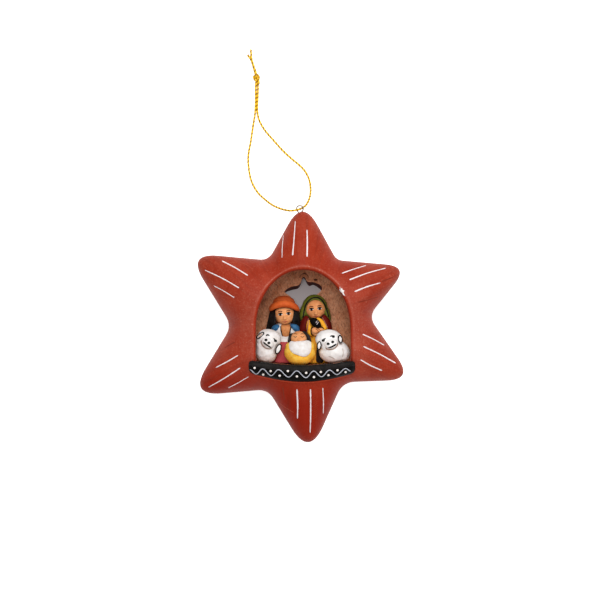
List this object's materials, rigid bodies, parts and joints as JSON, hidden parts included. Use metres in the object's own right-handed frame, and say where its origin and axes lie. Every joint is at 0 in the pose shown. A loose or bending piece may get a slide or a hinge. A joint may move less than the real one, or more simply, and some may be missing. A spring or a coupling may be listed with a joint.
{
  "type": "star ornament",
  "caption": "Hollow pointed star in painted fired clay with an arched niche for a moulded crib scene, a star window behind it, and a wire eye with a knotted thread loop to hang it by.",
  "frame": {"origin": "middle of the flat back on which the star lies, about the middle of the star", "axes": "+Z out of the face, +Y from the middle to the point with the wire eye, +X to the right as seen from the front"},
  "size_m": [0.0861, 0.1667, 0.0292],
  "materials": {
    "red_slip": "burnished red slip with a soft sheen",
    "bare_clay": "bare fired clay, matte",
    "black_slip": "black slip, soft sheen",
    "skin_slip": "tan slip, matte",
    "white_slip": "white slip, matte",
    "ochre_slip": "yellow ochre slip, matte",
    "orange_slip": "orange slip, matte",
    "rose_slip": "rose slip, matte",
    "blue_slip": "blue slip, matte",
    "olive_slip": "olive slip, matte",
    "maroon_slip": "maroon slip, matte",
    "brass_wire": "bare drawn wire",
    "gold_thread": "twisted metallic thread"
  },
  "bodies": {
    "ornament": {"wire_eye": "brass_wire", "front_shell": "red_slip", "back_shell": "red_slip", "sill_strip": "black_slip", "shelf": "bare_clay", "woman_head": "skin_slip", "woman_gown": "rose_slip", "woman_hat_brim": "orange_slip", "woman_hat_crown": "orange_slip", "woman_hair_left": "black_slip", "woman_shawl_left": "blue_slip", "woman_hair_right": "black_slip", "woman_shawl_right": "blue_slip", "man_head": "skin_slip", "man_tunic": "ochre_slip", "man_hood": "olive_slip", "man_cloak_left": "maroon_slip", "man_cloak_right": "maroon_slip", "man_hands": "skin_slip", "man_held_hat": "black_slip", "infant_head": "skin_slip", "infant_cradle": "ochre_slip", "infant_blanket": "white_slip", "infant_hair": "black_slip", "sheep_left_head": "white_slip", "sheep_left_body": "white_slip", "sheep_left_ear_left": "white_slip", "sheep_left_ear_right": "white_slip", "sheep_right_head": "white_slip", "sheep_right_body": "white_slip", "sheep_right_ear_left": "white_slip", "sheep_right_ear_right": "white_slip"},
    "cord": {"cord_left": "gold_thread", "cord_right": "gold_thread", "cord_tail_long": "gold_thread", "cord_tail_short": "gold_thread", "cord_knot": "gold_thread"}
  },
  "joints": [
    {"name": "cord_swing", "type": "hinge", "parent": "ornament", "child": "cord", "pos_m": [-0.00046, 0.0496, 0.012], "axis": [0, 0, 1], "range_deg": [-45, 20]}
  ]
}
